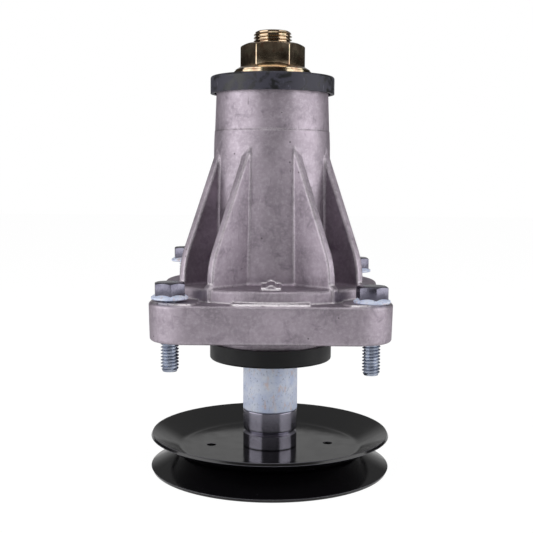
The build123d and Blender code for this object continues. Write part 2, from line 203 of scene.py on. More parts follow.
deselect()
bpy.ops.mesh.primitive_plane_add(size=FLOOR_SIDE, location=(0, 0, cad_low.z - FLOOR_GAP))
floor = bpy.context.object
floor.name = "floor"
bpy.ops.object.transform_apply(location=True)
floor.data.materials.append(floor_material)
floor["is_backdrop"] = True
print("floor at", round(1000 * (cad_low.z - FLOOR_GAP), 1), "mm")

# %% [markdown]
# The soft boxes are area lamps. The two large ones stand to the left and right, a little in front
# of the spindle, which puts their bright bands about halfway out on every round part. A weak one
# overhead brightens what faces upwards. Their strengths were matched to the highlights in the
# photograph, and the Standard view shows the result without the curve of a film.

# %% Soft boxes
# degrees round from the camera, metres from the axis, metres wide, metres tall, height, watts
SOFT_BOXES = {
    "left_soft_box": (-66, 1.0, 1.20, 0.75, 0.17, 6.9),
    "right_soft_box": (72, 1.0, 1.10, 0.75, 0.17, 6.1),
    "ceiling_soft_box": (0, 0.5, 0.70, 0.45, 0.95, 2.4),
}
AIM = Vector((0, 0, 0.03))  # the point that all three face, 3 cm above the mounting face
for name, (turn, away, across, tall, height, watts) in SOFT_BOXES.items():
    lamp = bpy.data.lights.new(name, "AREA")
    lamp.shape, lamp.size, lamp.size_y, lamp.energy = "RECTANGLE", across, tall, watts
    holder = bpy.data.objects.new(name, lamp)
    bpy.context.scene.collection.objects.link(holder)
    holder.location = (away * math.sin(math.radians(turn)), -away * math.cos(math.radians(turn)), height)
    holder.rotation_euler = (AIM - holder.location).to_track_quat("-Z", "Y").to_euler()
    print(name, "at", [round(c, 2) for c in holder.location])
bpy.context.scene.view_settings.view_transform = "Standard"

# %% [markdown]
# ## How each material starts
# Every finish below is a Principled shader. What is the same all over the surface is set on the
# shader's own sockets, and what varies is drawn with noise in millimetres of the real object.

# %% A start for all materials


def per_mm(size):
    """Texture scale for a pattern whose features are size millimetres across."""
    return 1000 / size


def finish(name, plain_values):
    """A material, its node tree, its shader, and the place on the object that patterns follow."""
    print("new finish:", name)
    made = bpy.data.materials.new(name)
    made.use_nodes = True
    tree = made.node_tree
    tree.nodes.clear()
    shader = add(tree, "BsdfPrincipled", plain_values)
    add(tree, "OutputMaterial", {"Surface": shader})
    return made, tree, shader, add(tree, "TexCoord").outputs["Object"]


def connect(tree, shader, colour, roughness, height, depth):
    """Colour, roughness and a bump depth millimetres high go into the shader."""
    tree.links.new(colour.outputs[2], shader.inputs["Base Color"])
    tree.links.new(roughness.outputs[0], shader.inputs["Roughness"])
    bump = add(tree, "Bump", {"Height": height, "Distance": depth / 1000, "Strength": 0.6})
    tree.links.new(bump.outputs[0], shader.inputs["Normal"])
    print("  it takes", len(tree.nodes), "nodes")
    return bump


print("a pattern of 2 mm has scale", per_mm(2))

# %% [markdown]
# ## Die-cast aluminium
# The housing is shot into a steel mould and left as it comes out. Its skin is satin and mauve
# grey, cloudy where the metal froze first, with a fine grain, small dark pores and short
# scratches. The grain is drawn coarser than it is, or else it wouldn't show. The edges of the
# ribs are burnished by handling, and on top of that they are painted pale as a highlight, so they
# show as thin bright lines. A Bevel node finds the edges, because its normal differs from the real
# one only near them, and the same rounded normal then catches the light there as a real worn edge does.

# %% Cast aluminium: colour
cast, tree, shader, where = finish("die_cast_aluminium",
                                   {"Metallic": 0.95, "Specular Tint": (0.78, 0.76, 0.78, 1.0)})
clouds = add(tree, "TexNoise", {"Vector": where, "Scale": per_mm(17), "Detail": 5, "Roughness": 0.6})
tone = add(tree, "MapRange", {0: clouds, 1: 0.32, 2: 0.68})
skin = add(tree, "Mix", {0: tone, 6: linear("#968D96"), 7: linear("#B6ABB6")}, data_type="RGBA")
grain = add(tree, "TexNoise", {"Vector": where, "Scale": per_mm(1.5), "Detail": 5, "Roughness": 0.7})
pale = add(tree, "MapRange", {0: grain, 1: 0.46, 2: 0.74, 3: 0.0, 4: 0.6})
skin = add(tree, "Mix", {0: pale, 6: skin.outputs[2], 7: linear("#CAC0CB")}, data_type="RGBA")
stain = add(tree, "TexNoise", {"Vector": where, "Scale": per_mm(7), "Detail": 4, "Roughness": 0.65,
                               "Distortion": 0.6})
stained = add(tree, "MapRange", {0: stain, 1: 0.54, 2: 0.70, 3: 0.0, 4: 0.6})
skin = add(tree, "Mix", {0: stained, 6: skin.outputs[2], 7: linear("#7B727C")}, data_type="RGBA")
print("clouds, grain and stain take", len(tree.nodes), "nodes")

# %% [markdown]
# Pores come from a pattern of cells, of which only a lucky few turn dark. Scratches are noise
# drawn out along the height. A Mapping node scales before it turns, so its rotation here doesn't
# slant them but only picks another part of the noise. The parting ring is where two parts of the
# mould met: a thin dark line at one height, broken where the stain pattern is low.

# %% Cast aluminium: pores, scratches and the mould's parting ring
cells = add(tree, "TexVoronoi", {"Vector": where, "Scale": per_mm(4.2)})
lucky = add(tree, "MapRange", {0: add(tree, "SeparateColor", {0: cells.outputs["Color"]}), 1: 0.76, 2: 0.79})
close = add(tree, "MapRange", {0: cells, 1: 0.05, 2: 0.12, 3: 0.85, 4: 0.0})
pore = add(tree, "Math", {0: close, 1: lucky}, operation="MULTIPLY")
skin = add(tree, "Mix", {0: pore, 6: skin.outputs[2], 7: linear("#2E292C")}, data_type="RGBA")
drawn_out = add(tree, "Mapping", {"Vector": where, "Rotation": (0.5, 0.9, 0.3), "Scale": (1.0, 1.0, 0.10)})
streaks = add(tree, "TexNoise", {"Vector": drawn_out, "Scale": per_mm(0.9), "Detail": 2})
scratch = add(tree, "MapRange", {0: streaks, 1: 0.70, 2: 0.78, 3: 0.0, 4: 0.5})
skin = add(tree, "Mix", {0: scratch, 6: skin.outputs[2], 7: linear("#5A5257")}, data_type="RGBA")
PARTING_HEIGHT, PARTING_WIDTH = 93.2, 0.45  # mm
height = add(tree, "SeparateXYZ", {0: where}).outputs["Z"]
offset = add(tree, "Math", {0: height, 1: PARTING_HEIGHT / 1000}, operation="SUBTRACT")
away = add(tree, "Math", {0: offset}, operation="ABSOLUTE")
ring = add(tree, "MapRange", {0: away, 1: 0.0, 2: PARTING_WIDTH / 1000, 3: 0.55, 4: 0.0})
gaps = add(tree, "MapRange", {0: stain, 1: 0.42, 2: 0.55})
broken = add(tree, "Math", {0: ring, 1: gaps}, operation="MULTIPLY")
skin = add(tree, "Mix", {0: broken, 6: skin.outputs[2], 7: linear("#574F54")}, data_type="RGBA")
print("with pores, scratches and the ring they are", len(tree.nodes))

# %% [markdown]
# Now the edges. The Bevel node's normal is compared with the real one, and where the two differ,
# the skin is polished and painted pale, which is partly wear and partly a painted highlight, except
# at knocks, where it is bruised dark.

# %% Cast aluminium: burnished edges with a painted highlight
rounded = add(tree, "Bevel", {"Radius": 1.5 / 1000}, samples=6)
turned_by = add(tree, "VectorMath", {0: rounded, 1: add(tree, "NewGeometry").outputs["Normal"]},
                operation="DOT_PRODUCT")
sharp = add(tree, "MapRange", {0: turned_by.outputs["Value"], 1: 0.99, 2: 0.93, 3: 0.0, 4: 0.9})
edge_wear_and_highlight = add(tree, "Math", {0: sharp, 1: ring}, operation="SUBTRACT", use_clamp=True)
# The edges are painted near-white: partly burnish, partly a painted highlight.
skin = add(tree, "Mix", {0: edge_wear_and_highlight, 6: skin.outputs[2], 7: linear("#F2ECF0")}, data_type="RGBA")
knocks = add(tree, "TexNoise", {"Vector": where, "Scale": per_mm(2.2), "Detail": 3, "Roughness": 0.6})
knock = add(tree, "MapRange", {0: knocks, 1: 0.58, 2: 0.68, 3: 0.0, 4: 0.9})
nick = add(tree, "Math", {0: knock, 1: edge_wear_and_highlight}, operation="MULTIPLY")
skin = add(tree, "Mix", {0: nick, 6: skin.outputs[2], 7: linear("#4A4347")}, data_type="RGBA")
matt = add(tree, "TexNoise", {"Vector": where, "Scale": per_mm(8), "Detail": 3})
rough = add(tree, "MapRange", {0: matt, 1: 0.35, 2: 0.65, 3: 0.48, 4: 0.56})
rough = add(tree, "Mix", {0: edge_wear_and_highlight, 2: rough, 3: 0.36}, data_type="FLOAT")
skin_height = add(tree, "Math", {0: grain, 1: pore}, operation="SUBTRACT")
bump = connect(tree, shader, skin, rough, skin_height, 0.10)
tree.links.new(rounded.outputs[0], bump.inputs["Normal"])

# %% [markdown]
# ## Bright zinc
# Steel is plated with zinc and dipped in a clear chromate, which leaves it bright with a blue
# cast. The bolt heads have dulled to a darker grey. One slow noise moves colour and roughness
# together, because the thickness of the film changes both, and a flat colour would look painted.

# %% Zinc on the bolt heads
dull_zinc, tree, shader, where = finish("zinc_plate_on_forged_heads", {"Metallic": 1.0})
film = add(tree, "TexNoise", {"Vector": where, "Scale": per_mm(4.5), "Detail": 4})
tone = add(tree, "MapRange", {0: film, 1: 0.35, 2: 0.65})
colour = add(tree, "Mix", {0: tone, 6: linear("#555360"), 7: linear("#787683")}, data_type="RGBA")
rough = add(tree, "MapRange", {0: film, 1: 0.3, 2: 0.7, 3: 0.20, 4: 0.32})
fine = add(tree, "TexNoise", {"Vector": where, "Scale": per_mm(1.2), "Detail": 3})
connect(tree, shader, colour, rough, fine, 0.015)

# %% [markdown]
# On the threads the same film is still brighter and bluer.

# %% Zinc on the bolt threads
bright_zinc, tree, shader, where = finish("bright_zinc_plate", {"Metallic": 1.0})
film = add(tree, "TexNoise", {"Vector": where, "Scale": per_mm(4), "Detail": 3})
tone = add(tree, "MapRange", {0: film, 1: 0.35, 2: 0.65})
colour = add(tree, "Mix", {0: tone, 6: linear("#8E95A6"), 7: linear("#BBC2D0")}, data_type="RGBA")
rough = add(tree, "MapRange", {0: film, 1: 0.3, 2: 0.7, 3: 0.20, 4: 0.32})
fine = add(tree, "TexNoise", {"Vector": where, "Scale": per_mm(1.2), "Detail": 3})
connect(tree, shader, colour, rough, fine, 0.012)

# %% [markdown]
# The spacer sleeve's zinc is coarse and nearly white, with small dark pits and a faint pink and
# yellow bloom where the chromate dried. Pits and bloom are noise, stretched along the height.
# Crystals this coarse scatter light more than they mirror it, so this finish is hardly metallic.
# The bolts' flanges have it too.

# %% Sleeve zinc
sleeve_zinc, tree, shader, where = finish("speckled_zinc_plate", {"Metallic": 0.12})
film = add(tree, "TexNoise", {"Vector": where, "Scale": per_mm(6), "Detail": 4, "Roughness": 0.6})
tone = add(tree, "MapRange", {0: film, 1: 0.35, 2: 0.65})
colour = add(tree, "Mix", {0: tone, 6: linear("#CDD8F4"), 7: linear("#EAF0FF")}, data_type="RGBA")
stretched = add(tree, "Mapping", {"Vector": where, "Scale": (1.0, 1.0, 0.55)})
specks = add(tree, "TexNoise", {"Vector": stretched, "Scale": per_mm(1.0), "Detail": 4, "Roughness": 0.7})
dark = add(tree, "MapRange", {0: specks, 1: 0.57, 2: 0.68, 3: 0.0, 4: 0.7})
colour = add(tree, "Mix", {0: dark, 6: colour.outputs[2], 7: linear("#7C86A4")}, data_type="RGBA")
bloom = add(tree, "TexNoise", {"Vector": stretched, "Scale": per_mm(2.6), "Detail": 3, "Distortion": 0.5})
warm = add(tree, "MapRange", {0: bloom, 1: 0.56, 2: 0.70, 3: 0.0, 4: 0.5})
colour = add(tree, "Mix", {0: warm, 6: colour.outputs[2], 7: linear("#E0BCA8")}, data_type="RGBA")
rough = add(tree, "MapRange", {0: film, 1: 0.3, 2: 0.7, 3: 0.38, 4: 0.55})
connect(tree, shader, colour, rough, specks, 0.05)

# %% [markdown]
# ## Yellow zinc
# The nut and the shaft have a yellow chromate instead. Its gold drifts to brown, green and rose,
# because the film is thin and uneven, so three noises of different sizes mix the colours. The
# flats look nearly black here, since they mirror the dark side of the room, and only the edges
# and the cone pick up the soft boxes.

# %% Nut and shaft zinc
yellow_zinc, tree, shader, where = finish("yellow_zinc_plate", {"Metallic": 1.0})
drift = add(tree, "TexNoise", {"Vector": where, "Scale": per_mm(6), "Detail": 3})
tone = add(tree, "MapRange", {0: drift, 1: 0.36, 2: 0.62})
colour = add(tree, "Mix", {0: tone, 6: linear("#95816B"), 7: linear("#CDB99E")}, data_type="RGBA")
green_film = add(tree, "TexNoise", {"Vector": where, "Scale": per_mm(4.1), "Detail": 2})
green = add(tree, "MapRange", {0: green_film, 1: 0.54, 2: 0.68, 3: 0.0, 4: 0.55})
colour = add(tree, "Mix", {0: green, 6: colour.outputs[2], 7: linear("#7D8466")}, data_type="RGBA")
rose_film = add(tree, "TexNoise", {"Vector": where, "Scale": per_mm(3.2), "Detail": 2})
rose = add(tree, "MapRange", {0: rose_film, 1: 0.56, 2: 0.70, 3: 0.0, 4: 0.6})
colour = add(tree, "Mix", {0: rose, 6: colour.outputs[2], 7: linear("#96664F")}, data_type="RGBA")
rough = add(tree, "MapRange", {0: drift, 1: 0.3, 2: 0.7, 3: 0.11, 4: 0.19})
fine = add(tree, "TexNoise", {"Vector": where, "Scale": per_mm(1.1), "Detail": 3})
connect(tree, shader, colour, rough, fine, 0.010)

# %% [markdown]
# ## Moulded dust caps
# The caps are moulded in black nylon. The one at the blade end is scuffed to a blue grey, with
# black smudges and pale nicks from handling. Each of these is a noise cut off at a level, which
# leaves patches with an edge. The cap at the other end is clean and darker.

# %% Scuffed cap
scuffed_cap, tree, shader, where = finish("scuffed_black_nylon", {"Metallic": 0.0})
rubs = add(tree, "TexNoise", {"Vector": where, "Scale": per_mm(7), "Detail": 5, "Roughness": 0.65,
                              "Distortion": 0.8})
worn = add(tree, "MapRange", {0: rubs, 1: 0.42, 2: 0.52})
colour = add(tree, "Mix", {0: worn, 6: linear("#101014"), 7: linear("#33323F")}, data_type="RGBA")
drawn = add(tree, "Mapping", {"Vector": where, "Rotation": (0.4, 0.7, 0.2), "Scale": (1.0, 1.0, 0.2)})
nicks = add(tree, "TexNoise", {"Vector": drawn, "Scale": per_mm(0.9), "Detail": 2})
pale = add(tree, "MapRange", {0: nicks, 1: 0.66, 2: 0.76, 3: 0.0, 4: 0.7})
colour = add(tree, "Mix", {0: pale, 6: colour.outputs[2], 7: linear("#6C6B7A")}, data_type="RGBA")
rough = add(tree, "MapRange", {0: worn, 3: 0.40, 4: 0.60})
connect(tree, shader, colour, rough, rubs, 0.06)

# %% [markdown]
# The cap at the pulley end is the same nylon, but sheltered: almost black, even and a bit smoother.

# %% Clean cap
smooth_cap, tree, shader, where = finish("clean_black_nylon", {"Metallic": 0.0, "Specular IOR Level": 0.3})
cloud = add(tree, "TexNoise", {"Vector": where, "Scale": per_mm(6), "Detail": 3})
tone = add(tree, "MapRange", {0: cloud, 1: 0.35, 2: 0.65})
colour = add(tree, "Mix", {0: tone, 6: linear("#0A0A0D"), 7: linear("#121216")}, data_type="RGBA")
rough = add(tree, "MapRange", {0: cloud, 1: 0.3, 2: 0.7, 3: 0.40, 4: 0.52})
fine = add(tree, "TexNoise", {"Vector": where, "Scale": per_mm(1.0), "Detail": 4})
connect(tree, shader, colour, rough, fine, 0.03)

# %% [markdown]
# ## Black enamel
# The pulley halves are pressed from sheet and dipped in black enamel. Enamel is glossy but never
# flat: a slow ripple bends the reflections of the soft boxes, and a few specks of dust lie in it.
# Along the rims it is worn, and a thin grey line is painted there as a highlight, found by a Bevel node as on
# the casting.

# %% Enamel
enamel, tree, shader, where = finish("black_enamel", {"Metallic": 0.0, "Specular IOR Level": 0.45})
dust = add(tree, "TexVoronoi", {"Vector": where, "Scale": per_mm(5.0)})
few = add(tree, "MapRange", {0: add(tree, "SeparateColor", {0: dust.outputs["Color"]}), 1: 0.88, 2: 0.90})
spot = add(tree, "MapRange", {0: dust, 1: 0.02, 2: 0.05, 3: 0.6, 4: 0.0})
fleck = add(tree, "Math", {0: spot, 1: few}, operation="MULTIPLY")
colour = add(tree, "Mix", {0: fleck, 6: linear("#070609"), 7: linear("#5A5A60")}, data_type="RGBA")
rounded = add(tree, "Bevel", {"Radius": 0.6 / 1000}, samples=6)
turned_by = add(tree, "VectorMath", {0: rounded, 1: add(tree, "NewGeometry").outputs["Normal"]},
                operation="DOT_PRODUCT")
edge_wear_and_highlight = add(tree, "MapRange", {0: turned_by.outputs["Value"], 1: 0.98, 2: 0.88, 3: 0.0, 4: 0.8})
# The rim line is partly wear and partly a painted highlight.
colour = add(tree, "Mix", {0: edge_wear_and_highlight, 6: colour.outputs[2], 7: linear("#6E6D75")}, data_type="RGBA")
ripple = add(tree, "TexNoise", {"Vector": where, "Scale": per_mm(5), "Detail": 2})
rough = add(tree, "MapRange", {0: ripple, 1: 0.3, 2: 0.7, 3: 0.11, 4: 0.20})
bump = connect(tree, shader, colour, rough, ripple, 0.03)
tree.links.new(rounded.outputs[0], bump.inputs["Normal"])

# %% [markdown]
# The collar and the hub are turned steel with a thin black oxide. The lathe's fine grooves run
# round the part and smear each reflection up and down, so the soft boxes stand in it as two tall
# bright bands with the dark room between them. The shader does this with Anisotropic and a
# tangent that follows the grooves. They are drawn a quarter of a millimetre apart, coarser than
# they are, so that they show. Shade is painted dark into the corner where the hub meets the web.

# %% Black oxide
WEB_TOP = -57.4  # height in mm of the pulley's web, where the hub ends
black_oxide, tree, shader, where = finish("black_oxide_on_turned_steel",
                                          {"Metallic": 1.0, "Anisotropic": 0.9, "Anisotropic Rotation": 0.25})
film = add(tree, "TexNoise", {"Vector": where, "Scale": per_mm(6), "Detail": 3})
colour = add(tree, "Mix", {0: film, 6: linear("#8E8B98"), 7: linear("#A7A4B2")}, data_type="RGBA")
round_z = add(tree, "Mapping", {"Vector": where, "Scale": (1.0, 1.0, 6.0)})
lines = add(tree, "TexNoise", {"Vector": round_z, "Scale": per_mm(1.5), "Detail": 3})
rough = add(tree, "MapRange", {0: lines, 1: 0.3, 2: 0.7, 3: 0.22, 4: 0.27})
height = add(tree, "SeparateXYZ", {0: where}).outputs["Z"]
# Painted shade: the colour goes nearly black over the last 0.8 mm above the web.
painted_corner_shade = add(tree, "MapRange", {0: height, 1: WEB_TOP / 1000, 2: (WEB_TOP + 0.8) / 1000, 3: 1.0, 4: 0.0})
colour = add(tree, "Mix", {0: painted_corner_shade, 6: colour.outputs[2], 7: linear("#0A0A0B")}, data_type="RGBA")
round_axis = add(tree, "VectorMath", {0: (0.0, 0.0, 1.0), 1: where}, operation="CROSS_PRODUCT")
grooves = add(tree, "VectorTransform", {0: round_axis}, vector_type="VECTOR",
              convert_from="OBJECT", convert_to="WORLD")
tree.links.new(grooves.outputs[0], shader.inputs["Tangent"])
connect(tree, shader, colour, rough, lines, 0.006)

# %% [markdown]
# ## Inside the housing
# The bearings, the tube between them and the key are never seen with the spindle together, but
# each is still finished as itself. The rings are ground and the tube is turned, and both carry
# fine lines round the axis, which are noise squashed along Z and drawn coarser than they are.

# %% Inner steels
ground_steel, tree, shader, where = finish("ground_bearing_steel", {"Metallic": 1.0})
cloud = add(tree, "TexNoise", {"Vector": where, "Scale": per_mm(8), "Detail": 2})
colour = add(tree, "Mix", {0: cloud, 6: linear("#B9BABD"), 7: linear("#CDCED0")}, data_type="RGBA")
round_z = add(tree, "Mapping", {"Vector": where, "Scale": (1.0, 1.0, 6.0)})
lines = add(tree, "TexNoise", {"Vector": round_z, "Scale": per_mm(0.9), "Detail": 3})
rough = add(tree, "MapRange", {0: lines, 1: 0.3, 2: 0.7, 3: 0.12, 4: 0.24})
connect(tree, shader, colour, rough, lines, 0.004)

turned_steel, tree, shader, where = finish("turned_steel", {"Metallic": 1.0})
cloud = add(tree, "TexNoise", {"Vector": where, "Scale": per_mm(5), "Detail": 3})
colour = add(tree, "Mix", {0: cloud, 6: linear("#8E8F92"), 7: linear("#A8A9AC")}, data_type="RGBA")
round_z = add(tree, "Mapping", {"Vector": where, "Scale": (1.0, 1.0, 8.0)})
lines = add(tree, "TexNoise", {"Vector": round_z, "Scale": per_mm(1.2), "Detail": 3})
rough = add(tree, "MapRange", {0: lines, 1: 0.3, 2: 0.7, 3: 0.30, 4: 0.46})
connect(tree, shader, colour, rough, lines, 0.01)

# %% [markdown]
# The cage is undyed nylon, which is ivory, and the seals are matt black rubber.

# %% Cage and seals
nylon, tree, shader, where = finish("natural_nylon", {"Metallic": 0.0})
cloud = add(tree, "TexNoise", {"Vector": where, "Scale": per_mm(4), "Detail": 3})
colour = add(tree, "Mix", {0: cloud, 6: linear("#BDB398"), 7: linear("#CDC4AB")}, data_type="RGBA")
rough = add(tree, "MapRange", {0: cloud, 1: 0.3, 2: 0.7, 3: 0.40, 4: 0.55})
connect(tree, shader, colour, rough, cloud, 0.02)

rubber, tree, shader, where = finish("nitrile_rubber", {"Metallic": 0.0})
cloud = add(tree, "TexNoise", {"Vector": where, "Scale": per_mm(3), "Detail": 3})
colour = add(tree, "Mix", {0: cloud, 6: linear("#1B1B1C"), 7: linear("#262628")}, data_type="RGBA")
rough = add(tree, "MapRange", {0: cloud, 1: 0.3, 2: 0.7, 3: 0.60, 4: 0.80})
connect(tree, shader, colour, rough, cloud, 0.02)

# %% [markdown]
# ## Giving each CAD piece its finish
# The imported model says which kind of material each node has, so most nodes take their finish from
# a table. Three pieces look different from others of their kind and are set one by one.

# %% Finish the CAD pieces
finish_of = {
    "cast_aluminium": cast, "yellow_zinc": yellow_zinc, "bright_zinc": bright_zinc,
    "scuffed_black_cap": scuffed_cap, "smooth_black_cap": smooth_cap, "black_enamel": enamel,
    "plain_steel": turned_steel, "bearing_steel": ground_steel,
    "nylon_cage": nylon, "seal_rubber": rubber,
}
slot_of = {s["node"]: s["material_slot"] for s in frame["record"]["subparts"]}
for name, node in nodes.items():
    node.data.materials.clear()
    node.data.materials.append(finish_of[slot_of[name]])
nodes["spacer_sleeve"].data.materials[0] = sleeve_zinc
for name in ("hub_collar", "pulley_hub"):
    nodes[name].data.materials[0] = black_oxide
print("finished", len(nodes), "CAD pieces")

# %% [markdown]
# ## Turned and cut shapes
# A lathe makes most of this object, so one helper draws half a section point by point from a
# single vertex and another spins it round Z. The seam and the poles are then merged, and the
# normals are made to point outwards.

# %% Draw and turn
MERGE = 0.000002  # vertices closer than this many metres become one
STEPS = 96  # faces round a turned shape, unless it needs more or fewer


def draw(name, points):
    """A new object whose mesh is one line through (radius, height) points in millimetres."""
    deselect()
    bpy.ops.mesh.primitive_plane_add(size=0.001)
    line = bpy.context.object
    line.name = name
    bpy.ops.object.mode_set(mode="EDIT")
    bpy.ops.mesh.merge(type="CENTER")
    at = Vector((0, 0, 0))
    for count, (radius, height) in enumerate(points):
        to = Vector((radius, 0, height)) / 1000
        if count:
            bpy.ops.mesh.extrude_vertices_move(TRANSFORM_OT_translate={"value": to - at})
        else:
            bpy.ops.transform.translate(value=to)
        at = to
    bpy.ops.object.mode_set(mode="OBJECT")
    return line


def lathe(name, points, steps=STEPS):
    """Spins points about Z: from axis to axis for a solid, or round a closed outline for a ring."""
    solid = draw(name, points)
    bpy.ops.object.mode_set(mode="EDIT")
    bpy.ops.mesh.select_all(action="SELECT")
    bpy.ops.mesh.spin(steps=steps, angle=2 * math.pi, center=(0, 0, 0), axis=(0, 0, 1))
    bpy.ops.mesh.select_all(action="SELECT")
    bpy.ops.mesh.remove_doubles(threshold=MERGE)
    bpy.ops.mesh.normals_make_consistent(inside=False)
    bpy.ops.object.mode_set(mode="OBJECT")
    return solid


print("one step of a turned shape is", 360 / STEPS, "degrees")

# %% [markdown]
# Crowned hexagons come from cutting one shape with another, so the next helpers apply modifiers,
# cut, and bevel. A boolean cut can leave slivers thinner than a hair, so its result is always
# cleaned.

# %% Cut and bevel
SLIVER = 0.000005  # metres, under which an edge is closed up


def apply_all(piece):
    """Applies the modifiers of piece in their order."""
    deselect()
    piece.select_set(True)
    bpy.context.view_layer.objects.active = piece
    for modifier in list(piece.modifiers):
        bpy.ops.object.modifier_apply(modifier=modifier.name)


def cut(piece, tool, operation):
    """Subtracts tool from piece or keeps what both share, and closes up the tiny slivers it leaves."""
    step = piece.modifiers.new("cut", "BOOLEAN")
    step.operation, step.object, step.solver = operation, tool, "EXACT"
    apply_all(piece)
    bpy.data.objects.remove(tool)
    bpy.ops.object.mode_set(mode="EDIT")
    bpy.ops.mesh.select_all(action="SELECT")
    bpy.ops.mesh.remove_doubles(threshold=SLIVER)
    bpy.ops.mesh.dissolve_degenerate(threshold=SLIVER)
    bpy.ops.mesh.select_all(action="SELECT")
    bpy.ops.mesh.normals_make_consistent(inside=False)
    bpy.ops.object.mode_set(mode="OBJECT")
    return piece


def soften(piece, width, segments=2, angle=28):
    """Bevels the sharp edges by width millimetres and shades the rest smooth."""
    step = piece.modifiers.new("bevel", "BEVEL")
    step.width, step.segments, step.limit_method = width / 1000, segments, "ANGLE"
    step.angle_limit = math.radians(angle)
    apply_all(piece)
    bpy.ops.object.shade_smooth_by_angle(angle=math.radians(angle))
    return piece


print("edges under", round(1e6 * SLIVER), "micrometres are closed up")

# %% [markdown]
# A hexagon is a cylinder with six sides. Parts that overlap, such as a head and its shank, are
# joined into one object, because they are one piece of steel.

# %% Hexagon and join


def hexagon(name, flats, bottom, top, turn):
    """A hexagonal prism; turn is the angle in degrees from +X to a corner."""
    deselect()
    bpy.ops.mesh.primitive_cylinder_add(
        vertices=6, radius=flats / math.sqrt(3) / 1000, depth=(top - bottom) / 1000,
        location=(0, 0, (top + bottom) / 2000), rotation=(0, 0, math.radians(turn - 90)))
    prism = bpy.context.object
    prism.name = name
    bpy.ops.object.transform_apply(location=True, rotation=True)
    return prism


def join(name, *parts):
    """Makes one object of several and names it."""
    deselect()
    for part in parts:
        part.select_set(True)
    bpy.context.view_layer.objects.active = parts[0]
    bpy.ops.object.join()
    parts[0].name = name
    return parts[0]


print("corners are", round(2 / math.sqrt(3), 3), "times as far across as flats")

# %% [markdown]
# ## Threads
# One tooth of the thread is drawn, and the Screw modifier carries it up the helix. Cutting the
# result against a turned blank gives the thread its chamfered or rounded end, as a die leaves it
# on a real bolt. Bump could only shade a thread, and its zigzag outline is what the eye looks for.

# %% Thread
CLEAR = 0.06  # mm that a blank stands outside the crests, so that it trims only the thread's end
RUN_IN = 1.5  # turns of thread below the wanted ones, which the cut at the bottom takes off
SPARE = 0.37  # mm that a thread is cut longer at both ends, so that the cut meets no vertex


def thread(name, major, minor, pitch, bottom, top, blank, steps=40):
    """A helical thread from bottom to top, cut to the outline of blank."""
    start = bottom - RUN_IN * pitch
    # one tooth as (radius, share of the pitch): root, slope up, crest, slope down, root
    tooth = [(minor, 0), (minor, 0.16), (major, 0.44), (major, 0.56), (minor, 0.84), (minor, 1.0)]
    helix = draw(name, [(radius, start + share * pitch) for radius, share in tooth])
    step = helix.modifiers.new("screw", "SCREW")
    step.axis, step.angle, step.screw_offset = "Z", 2 * math.pi, pitch / 1000
    step.steps = step.render_steps = steps
    step.iterations = math.ceil((top - start) / pitch) + 2
    step.use_merge_vertices, step.merge_threshold = True, MERGE
    apply_all(helix)
    bpy.ops.object.mode_set(mode="EDIT")
    bpy.ops.mesh.select_all(action="SELECT")
    bpy.ops.mesh.remove_doubles(threshold=MERGE)
    bpy.ops.mesh.normals_make_consistent(inside=False)
    for height, side in ((bottom - SPARE, -1), (top + SPARE, 1)):
        bpy.ops.mesh.select_all(action="SELECT")
        bpy.ops.mesh.bisect(plane_co=(0, 0, height / 1000), plane_no=(0, 0, side),
                            use_fill=True, clear_outer=True)
    bpy.ops.mesh.select_all(action="SELECT")
    bpy.ops.mesh.normals_make_consistent(inside=False)
    bpy.ops.object.mode_set(mode="OBJECT")
    cut(helix, blank, "INTERSECT")
    bpy.ops.object.shade_smooth_by_angle(angle=math.radians(35))
    print(name, "has", len(helix.data.polygons), "faces")
    return helix


print("a bolt's thread is cut from a blank", CLEAR, "mm clear of its crests")

# %% [markdown]
# ## The four mounting bolts
# Each is a hexagon head with a flange washer forged in one piece, on a thread-forming shank of
# eighteen threads to the inch. The hexagon is cut against a turned crown, which leaves the curved
# chamfer over each flat, and a small bevel catches the light along the corners. Profiles are
# (radius, height) in millimetres, from the seat under the flange.

# %% Bolt head and flange
ACROSS_FLATS, HEAD_HEIGHT, BOLT_TURN = 12.7, 7.4, 38.4  # mm, mm, degrees
CROWN_RADIUS, CROWN_DROP, CORNER_TRIM = 5.9, 0.72, 0.05
FLANGE_RADIUS, FLANGE_EDGE, CONE_TOP = 8.1, 1.2, 2.6
corner = ACROSS_FLATS / math.sqrt(3) - CORNER_TRIM
head = hexagon("bolt_head", ACROSS_FLATS, FLANGE_EDGE, HEAD_HEIGHT, BOLT_TURN)
crown = lathe("crown", [(0, 0), (corner, 0), (corner, HEAD_HEIGHT - CROWN_DROP),
                        (CROWN_RADIUS, HEAD_HEIGHT), (0, HEAD_HEIGHT)])
head = soften(cut(head, crown, "INTERSECT"), 0.22)
flange = lathe("bolt_flange", [(0, 0), (7.75, 0), (FLANGE_RADIUS, 0.35), (FLANGE_RADIUS, 0.95),
                               (7.85, FLANGE_EDGE), (6.05, 2.4), (5.6, CONE_TOP), (0, CONE_TOP)])
bpy.ops.object.shade_smooth_by_angle(angle=math.radians(40))
print("bolt head has", len(head.data.polygons), "faces")

# %% [markdown]
# The shank's blank has a cone at its tip and ends inside the head. One bolt is modelled, and each
# of the four takes a copy at its own height, because they are driven in to four depths.

